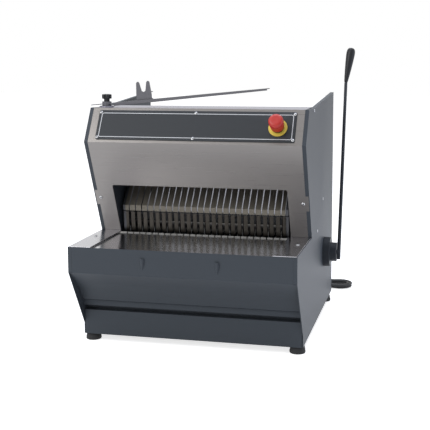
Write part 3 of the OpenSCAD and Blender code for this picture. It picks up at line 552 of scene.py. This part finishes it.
@dataclass
class Cord(Assembly):
    """Mains cord: out of the gland, down to the floor and into a folded hank with a plug.

    Attributes:
        diameter: Cord diameter in millimetres.
        gland: Place of the gland as X and Z.
        mouth: Y of the gland's end.
        lie: Height of the lower layer's middle.
        turn: Angle that the cord drops at, in degrees.
        bend: Radius of its two bends, in diameters.
        inside: Length that stays inside the gland.
        out: Straight length between the gland and the first bend.
        land: Straight length on the floor before the hank.
        run: Straight length of a loop.
        inner: Radius of the innermost fold.
        step: Distance from loop to loop.
        rise: Height of the upper layer over the lower one.
        loops: Loops in each layer.
        waist: How far the tie draws a loop's sides in.
        tail: Length from the last loop to the plug.
        steps_per_loop: Points that draw one loop.
        shrink: Share of the last lower loop that keeps the inner radius.
        climb: Share of a loop on which the cord rises to the upper layer.
    """

    diameter: float = 7.0
    gland: Point = (156.0, 80.0)
    mouth: float = 402.3
    lie: float = 5.0
    turn: float = 78.0
    bend: float = 4.4
    inside: float = 14.0
    out: float = 12.0
    land: float = 14.0
    run: float = 110.0
    inner: float = 24.0
    step: float = 10.2
    rise: float = 7.9
    loops: int = 2
    waist: float = 7.0
    tail: float = 34.0
    steps_per_loop: int = 72
    shrink: float = 0.42
    climb: float = 0.34

    def lead(self) -> list[Point]:
        """Returns the free stretch as Y and Z points."""
        bend, turn = self.bend * self.diameter, math.radians(self.turn)
        fall = self.gland[1] - self.lie - 2.0 * bend * (1.0 - math.cos(turn))
        start = self.mouth + self.out
        landing = start + 2.0 * bend * math.sin(turn) + fall / math.tan(turn)
        points = [(self.mouth - self.inside, self.gland[1]), (self.mouth, self.gland[1])]
        angles = [turn * i / BEND_STEPS for i in range(BEND_STEPS + 1)]
        for a in angles:
            points.append((start + bend * math.sin(a), self.gland[1] - bend * (1.0 - math.cos(a))))
        for a in reversed(angles):
            points.append((landing - bend * math.sin(a), self.lie + bend * (1.0 - math.cos(a))))
        return [*points, (landing + self.land, self.lie)]

    def stadium(self, share: float, r: float) -> Point:
        """Returns a point of one loop.

        Args:
            share: Share of the round, from the left end.
            r: Radius of the folds in millimetres.

        Returns:
            X and Y from the middle of the hank.
        """
        quarter, half = math.pi * r / 2.0, self.run / 2.0
        s = share * (4.0 * quarter + 2.0 * self.run)
        if s < quarter:
            a = math.pi - s / r
            return (-half + r * math.cos(a), r * math.sin(a))
        if s < quarter + self.run:
            return (-half + s - quarter, r)
        if s < 3.0 * quarter + self.run:
            a = math.pi / 2.0 - (s - quarter - self.run) / r
            return (half + r * math.cos(a), r * math.sin(a))
        if s < 3.0 * quarter + 2.0 * self.run:
            return (half - (s - 3.0 * quarter - self.run), -r)
        a = 1.5 * math.pi - (s - 3.0 * quarter - 2.0 * self.run) / r
        return (-half + r * math.cos(a), r * math.sin(a))

    def hank_point(self, u: float, middle: Point) -> Point3:
        """Returns a point of the hank.

        Args:
            u: Loops from the start.
            middle: Middle of the hank as X and Y.

        Returns:
            The point in millimetres.
        """
        outer = self.inner + self.loops * self.step
        turn_in = self.loops - self.shrink
        if u < turn_in:
            r = outer - self.loops * self.step * u / turn_in
        else:
            r = self.inner + max(0.0, u - self.loops) * self.step
        x, y = self.stadium(u - math.floor(u + LOOP_SHARE), r)
        draw = max(0.0, math.cos(min(math.pi / 2.0, math.pi * abs(x) / self.run)))
        y -= math.copysign(self.waist * draw, y)
        climb = min(1.0, max(0.0, (u - turn_in) / self.climb))
        return (middle[0] + x, middle[1] + y, self.lie + self.rise * climb)

    def route(self) -> list[Point3]:
        """Returns the whole route in millimetres."""
        lead = self.lead()
        x = self.gland[0]
        outer = self.inner + self.loops * self.step
        middle = (x + self.run / 2.0 + outer, lead[-1][0] + self.diameter)
        count = 2 * self.loops * self.steps_per_loop
        hank = [self.hank_point(k / self.steps_per_loop, middle) for k in range(count + 1)]
        top = self.lie + self.rise
        ends = [(x, middle[1] + self.tail / 2.0, top), (x, middle[1] + self.tail, top)]
        return [*((x, y, z) for y, z in lead), *hank, *ends]

    def build(self) -> None:
        points = [SHIFT + Vector(p) * MM for p in self.route()]
        data = bpy.data.curves.new("mains_cord", "CURVE")
        data.dimensions = "3D"
        data.bevel_depth = self.diameter / 2.0 * MM
        data.bevel_resolution = 5
        data.use_fill_caps = True
        line = data.splines.new("POLY")
        line.points.add(len(points) - 1)
        line.points.foreach_set("co", [c for p in points for c in (*p, 1.0)])
        line.use_smooth = True
        data.materials.append(JACKET.make())
        cord = bpy.data.objects.new("mains_cord", data)
        bpy.context.scene.collection.objects.link(cord)
        self.add(cord, "cord_black", "cord_stretch", "cord_hank")


@dataclass
class Screws(Assembly):
    """Domed screws that stand for the plain CAD ones.

    Attributes:
        name: Name of the piece.
        node: CAD node that it stands for.
        places: Frames on the seats, with Z outwards.
        radius: Head radius in millimetres.
        height: Head height in millimetres.
    """

    name: str = "screws"
    node: str = ""
    places: list[Matrix] = field(default_factory=list)
    radius: float = 4.5
    height: float = 2.2

    def build(self) -> None:
        """Makes all heads of one kind as one piece."""
        bm = bmesh.new()
        for place in self.places:
            dome_screw(bm, place, self.radius, self.height)
        self.add(write_piece(self.name, bm, (ZINC, RECESS)), "screw_zinc", self.node)


@dataclass
class EmergencyStop(Assembly):
    """Red mushroom head of the emergency stop.

    Attributes:
        x: Place across the control plate.
        up: Place up the control plate.
        off: Distance of the head's seat off the slope.
        radius: Head radius.
    """

    x: float = 223.5
    up: float = 49.31
    off: float = 11.0
    radius: float = 19.5

    def build(self) -> None:
        """Turns the head with its waist, rim and slightly hollow top."""
        r = self.radius
        neck = [(6.0, -18.0), (6.0, 8.1), (16.6, 8.1), (16.6, 1.4), (r - 2.2, 1.0), (r - 1.7, 1.6)]
        waist = [(r - 1.3, 15.0), (r - 1.0, 18.2), (r - 0.3, 20.4)]
        rim = [(r, 22.0), (r, 28.8), (r - 0.4, 31.4), (r - 1.6, 33.8), (r - 3.6, 35.8), (r - 6.4, 36.8)]
        top = [(r - 10.0, 37.0), (r - 15.0, 36.7), (0.0, 36.5)]
        bm = bmesh.new()
        place = CONTROL.at(self.x, self.up, self.off)
        spin_profile(bm, [(0.0, -18.0), *neck, *waist, *rim, *top], place, steps=64)
        self.add(write_piece("stop_head", bm, (RED,)), "plastic_red", "estop_head")


@dataclass
class ControlPlate(Assembly):
    """Printed line on the control plate.

    Attributes:
        width: Width of the line's frame.
        height: Height of the line's frame.
        up: Middle of the frame up the slope.
        corner: Corner radius.
        stroke: Width of the line.
        face: Distance of the plate's face off the slope.
        film: Thickness of the line.
    """

    width: float = 525.0
    height: float = 73.0
    up: float = 51.8
    corner: float = 6.0
    stroke: float = 1.8
    face: float = 2.06
    film: float = 0.04

    def build(self) -> None:
        """Cuts the line as a thin frame with round corners."""
        bm = bmesh.new()
        bmesh.ops.create_grid(bm, x_segments=1, y_segments=1, size=0.5)
        bmesh.ops.scale(bm, vec=(self.width * MM, self.height * MM, 1.0), verts=bm.verts)
        bmesh.ops.bevel(
            bm, geom=bm.verts[:], offset=self.corner * MM, offset_type="OFFSET", affect="VERTICES",
            segments=6, profile=0.5, material=-1,
        )
        middle = bm.faces[:]
        bmesh.ops.inset_region(
            bm, faces=middle, thickness=self.stroke * MM, use_even_offset=True, use_boundary=True,
        )
        bmesh.ops.delete(bm, geom=middle, context="FACES")
        ring = bmesh.ops.extrude_face_region(bm, geom=bm.faces[:])
        lifted = [g for g in ring["geom"] if isinstance(g, bmesh.types.BMVert)]
        bmesh.ops.translate(bm, vec=(0.0, 0.0, self.film * MM), verts=lifted)
        place_new(bm, CONTROL.at(0.0, self.up, self.face))
        self.add(write_piece("plate_line", bm, (LINE,)), "plate_dark")


@dataclass
class LeverGrip(Assembly):
    """Plastic grip on the lever.

    Attributes:
        foot: Middle of the lever's foot.
        lean: Lean to the back in degrees.
        cant: Lean outwards in degrees.
        start: Distance of the grip's lower end from the foot.
        bend: Outward bend under the grip in degrees.
    """

    foot: Point3 = (343.55, 166.0, 188.0)
    lean: float = 11.8
    cant: float = 0.4
    start: float = 511.0
    bend: float = 7.0

    def build(self) -> None:
        """Turns the grip, thin below and rounded above."""
        turn = Matrix.Rotation(-math.radians(self.lean), 4, "X") @ Matrix.Rotation(
            math.radians(self.cant), 4, "Y"
        )
        foot = Matrix.Translation(SHIFT + Vector(self.foot) * MM)
        neck = Matrix.Translation((0.0, 0.0, self.start * MM))
        place = foot @ turn @ neck @ Matrix.Rotation(math.radians(self.bend), 4, "Y")
        sides = [(0.0, 0.0), (4.6, 0.0), (5.2, 0.8), (6.0, 6.0), (7.4, 18.0), (9.4, 38.0), (11.0, 56.0)]
        swell = [(12.2, 72.0), (12.9, 84.0), (12.8, 91.0), (11.9, 97.0)]
        crown = [(10.0, 101.2), (7.0, 103.8), (3.5, 104.8)]
        bm = bmesh.new()
        spin_profile(bm, [*sides, *swell, *crown, (0.0, 105.0)], place, steps=56)
        self.add(write_piece("lever_handle", bm, (PLASTIC,)), "plastic_black", "lever_grip")


@dataclass
class StarKnob(Assembly):
    """Star knob of the bag holder.

    Attributes:
        foot: Middle of the knob's lower face.
        lobes: Number of lobes.
        radius: Radius over the lobes.
        lobe: Radius of one lobe.
    """

    foot: Point3 = (-266.0, -140.0, 645.6)
    lobes: int = 6
    radius: float = 14.0
    lobe: float = 4.0

    def build(self) -> None:
        """Turns the neck, head and lobes with round edges."""
        bm = bmesh.new()
        place = frame_at(self.foot, (0.0, 0.0, 1.0))
        neck = [(0.0, 0.0), (7.6, 0.0), (8.0, 0.5), (8.0, 7.5)]
        head = [(9.6, 7.6), (10.4, 8.4), (10.4, 18.0), (9.0, 19.4), (6.0, 19.9), (0.0, 20.0)]
        spin_profile(bm, [*neck, *head], place, steps=40)
        r = self.lobe
        lobe = [(0.0, 7.2), (r - 0.8, 7.2), (r, 8.2), (r, 17.6), (r - 0.8, 19.0), (0.0, 19.4)]
        for k in range(self.lobes):
            turn = Matrix.Rotation(TURN * k / self.lobes, 4, "Z")
            out = Matrix.Translation(((self.radius - r) * MM, 0.0, 0.0))
            spin_profile(bm, lobe, place @ turn @ out, steps=24)
        self.add(write_piece("star_knob", bm, (PLASTIC,)), "plastic_black", "arm_knob")


@dataclass
class Feet(Assembly):
    """Rubber feet.

    Attributes:
        places: Middles of the feet as X and Y.
        radius: Radius at the floor.
        height: Height of a foot.
    """

    places: tuple[Point, ...] = ((-282.0, -231.0), (282.0, -231.0), (-282.0, 310.0), (282.0, 310.0))
    radius: float = 21.0
    height: float = 20.0

    def build(self) -> None:
        """Turns the four feet with a round lower edge."""
        r, h = self.radius, self.height
        low = [(0.0, 0.0), (r - 2.0, 0.0), (r - 0.6, 0.6), (r, 2.0), (r, 6.5)]
        high = [(r - 2.6, h - 1.2), (r - 3.2, h - 0.3), (r - 4.0, h), (0.0, h)]
        bm = bmesh.new()
        for x, y in self.places:
            spin_profile(bm, [*low, *high], frame_at((x, y, 0.0), (0.0, 0.0, 1.0)))
        self.add(write_piece("feet", bm, (RUBBER,)), "rubber_black", "rubber_feet")


@dataclass(frozen=True)
class Lamp:
    """A square soft light.

    Attributes:
        name: Name of the light.
        place: Its place from the middle of the body, in metres.
        aim: Height of the point over the middle of the body that it looks at, in metres.
        size: Side of the square in metres.
        power: Power in watts.
        tint: sRGB hex colour of the light.
    """

    name: str
    place: Point3
    aim: float
    size: float
    power: float
    tint: str

    def hang(self) -> None:
        """Puts the light in its place."""
        data = bpy.data.lights.new(self.name, "AREA")
        data.color = srgb(self.tint)[:3]
        data.size = self.size
        data.energy = self.power
        lamp = bpy.data.objects.new(self.name, data)
        look = Vector((0.0, 0.0, self.aim)) - Vector(self.place)
        turn = look.to_track_quat("-Z", "Y").to_matrix().to_4x4()
        lamp.matrix_world = Matrix.Translation(SHIFT + Vector(self.place)) @ turn
        bpy.context.scene.collection.objects.link(lamp)


# A soft key from the front left, a weak cool fill from the right and a broad top light
LAMPS = (
    Lamp("key", (-2.0, -2.5, 2.4), 0.35, 2.2, 70.0, "#ffffff"),
    Lamp("fill", (3.0, 0.0, 1.0), 0.3, 2.0, 14.0, "#c8d8ff"),
    Lamp("top", (0.0, 0.4, 3.2), 0.3, 2.6, 66.0, "#eaf0ff"),
)
# White paper of the floor: pale, with the shadow of the object and no highlight
PAPER = Finish("studio_white", "#f6f6f6", roughness=0.9)


@dataclass(frozen=True)
class Studio:
    """Camera, floor and lights.

    Attributes:
        eye: Camera place in millimetres.
        yaw: Turn to the left in degrees.
        pitch: Tilt down in degrees.
        roll: Roll in degrees.
        focal: Focal length in pixels of the photograph.
        frame_px: Width of the photograph in pixels.
        shift_y: Lens shift.
        sensor: Sensor width in millimetres.
        far: Distance in metres that the camera sees.
        glow: Light of the floor itself to the camera.
        reach: Half of the floor's side in metres.
        sunk: Depth of the floor under the feet in metres.
        room: Strength of the pale light from all sides.
    """

    eye: Point3 = (643.4, -2613.7, 774.2)
    yaw: float = 13.71
    pitch: float = 7.10
    roll: float = -0.21
    focal: float = 948.75
    frame_px: float = 430.0
    shift_y: float = -0.10
    sensor: float = 36.0
    far: float = 60.0
    glow: float = 0.74
    reach: float = 15.0
    sunk: float = 0.0005
    room: float = 0.45

    def camera(self) -> None:
        """Puts the camera where the photograph was taken from."""
        data = bpy.data.cameras.new("photo_camera")
        data.sensor_width = self.sensor
        data.lens = self.focal / self.frame_px * self.sensor
        data.shift_y = self.shift_y
        data.clip_end = self.far
        cam = bpy.data.objects.new("photo_camera", data)
        bpy.context.scene.collection.objects.link(cam)
        turn = (
            Matrix.Rotation(math.radians(self.yaw), 4, "Z")
            @ Matrix.Rotation(math.radians(90.0 - self.pitch), 4, "X")
            @ Matrix.Rotation(math.radians(self.roll), 4, "Z")
        )
        cam.matrix_world = Matrix.Translation(SHIFT + Vector(self.eye) * MM) @ turn
        scene = bpy.context.scene
        scene.camera = cam
        scene.view_settings.view_transform = "Standard"

    def looked_at(self, tree: bpy.types.NodeTree) -> bpy.types.NodeSocket:
        """Tells rays that show the background, straight or mirrored, from those that light the object.

        Args:
            tree: Node tree of the floor's material or the world.

        Returns:
            Socket that gives 1 for camera, glossy and transmission rays.
        """
        path = add_node(tree, "ShaderNodeLightPath")
        total = path.outputs["Is Camera Ray"]
        for kind in ("Is Glossy Ray", "Is Transmission Ray"):
            either = add_node(tree, "ShaderNodeMath", total, path.outputs[kind], operation="MAXIMUM")
            total = either.outputs["Value"]
        return total

    def floor(self) -> None:
        """Lays a plain white floor."""
        bm = bmesh.new()
        bmesh.ops.create_grid(bm, x_segments=1, y_segments=1, size=self.reach)
        bmesh.ops.translate(bm, vec=(0.0, 0.0, -self.sunk), verts=bm.verts)
        write_piece("floor", bm, (PAPER,))
        tree = PAPER.make().node_tree
        plain = tree.nodes["Principled BSDF"].outputs["BSDF"]
        glow = add_node(tree, "ShaderNodeEmission", Color=srgb("#ffffff"), Strength=self.glow)
        both = add_node(tree, "ShaderNodeAddShader", plain, glow.outputs["Emission"])
        seen = add_node(
            tree, "ShaderNodeMixShader", self.looked_at(tree), plain, both.outputs["Shader"]
        )
        feed(tree, tree.nodes["Material Output"], Surface=seen.outputs["Shader"])

    def lights(self) -> None:
        """Hangs the lamps in a pale room that looks white."""
        for lamp in LAMPS:
            lamp.hang()
        world = bpy.data.worlds.new("room")
        bpy.context.scene.world = world
        world.use_nodes = True
        tree = world.node_tree
        tree.nodes.clear()
        room = add_node(tree, "ShaderNodeBackground", Color=srgb("#e9ebee"), Strength=self.room)
        white = add_node(tree, "ShaderNodeBackground", Color=srgb("#ffffff"), Strength=1.0)
        mix = add_node(
            tree, "ShaderNodeMixShader", self.looked_at(tree), room.outputs["Background"],
            white.outputs["Background"],
        )
        add_node(tree, "ShaderNodeOutputWorld", Surface=mix.outputs["Shader"])

    def build(self) -> None:
        """Builds the whole studio."""
        self.floor()
        self.lights()


def same(finish: Finish, names: str) -> dict[str, Finish]:
    """Gives several CAD nodes one finish.

    Args:
        finish: The finish.
        names: Node names with spaces between them.

    Returns:
        The finish of each node.
    """
    return {name: finish for name in names.split()}


def screw_sets() -> list[Screws]:
    """Returns the visible screws of the body by their seats."""
    plate_off, hood_off, tray_top, side_x = 2.1, 0.06, 281.5, 300.0
    plate = [CONTROL.at(x, up, plate_off) for x in (-265.0, 0.0, 265.0) for up in (14.31, 89.31)]
    hood = [HOOD.at(x, 110.88, hood_off) for x in (-283.0, 283.0)]
    tray = [frame_at((x, -214.0, tray_top), (0.0, 0.0, 1.0)) for x in (-278.0, 278.0)]
    spots = ((122.0, 353.0), (6.0, 279.0), (324.0, 196.0), (-78.0, 622.0))
    side = [frame_at((side_x * s, y, z), (s, 0.0, 0.0)) for s in (-1.0, 1.0) for y, z in spots]
    return [
        Screws(name="plate_screws", node="panel_screws", places=plate, radius=4.0),
        Screws(name="hood_face_screws", node="hood_screws", places=hood),
        Screws(name="tray_face_screws", node="tray_screws", places=tray),
        Screws(name="side_face_screws", node="side_screws", places=side, radius=4.0),
    ]


def assemblies() -> list[Assembly]:
    """Returns the sub-assemblies in the order that they are built in."""
    shell = same(
        PAINT,
        "base_pan left_side_panel right_side_panel front_fascia drawer_lintel crumb_drawer "
        "rear_panel motor_bracket",
    )
    drive = same(
        IRON,
        "frame_a frame_b guide_blocks crankshaft crank_bearings crank_pulley motor_rotor motor_body "
        "shaft_bearing pusher_frame",
    )
    steel = same(HOOD_STEEL, "drawer_runners hood rear_guard lever_shaft conrods_a conrods_b")
    satin = same(SATIN_STEEL, "top_cover arm_stud arm_washer")
    tray = same(TRAY_STEEL, "tray_plate_left tray_plate_right")
    holder = same(ARM_STEEL, "bag_arm bag_fork") | {"feed_chute": CHUTE_STEEL}
    small = {"estop_ring": YELLOW, "estop_body": PLASTIC, "fork_screws": ZINC}
    return [
        Assembly(finishes=shell, edge=0.6),
        Assembly(finishes=steel | satin | tray | holder, edge=0.4),
        Assembly(finishes=same(INNER, "inner_wall_left inner_wall_right")),
        Assembly(finishes=same(POLISHED, "tray_bed"), edge=0.3),
        Assembly(finishes=same(BLADE, "blades_a blades_b"), edge=0.0),
        Assembly(finishes={"pusher_plate": PUSHER, "pusher_fingers": STRIP}, edge=0.3),
        Assembly(finishes=drive, edge=0.5),
        Assembly(finishes={"control_panel": PLATE}, edge=0.0),
        Assembly(finishes=small, edge=0.5),
        Assembly(finishes=same(LEVER_PAINT, "lever_flange lever_hub lever_bar"), edge=0.8),
        Assembly(finishes={"drive_belt": RUBBER}, edge=0.0),
        Assembly(finishes=same(PLASTIC, "cord_gland cord_plug cord_tie"), edge=0.4),
        *screw_sets(),
        EmergencyStop(body="stop_head"),
        ControlPlate(),
        LeverGrip(body="lever"),
        StarKnob(body="knob"),
        Feet(),
    ]


def main() -> None:
    """Builds the studio and the object."""
    logging.basicConfig(level=logging.INFO)
    studio = Studio()
    studio.camera()
    Cord().build()
    for part in assemblies():
        part.build()
        part.dress()
    studio.build()


if __name__ == "__main__":
    main()
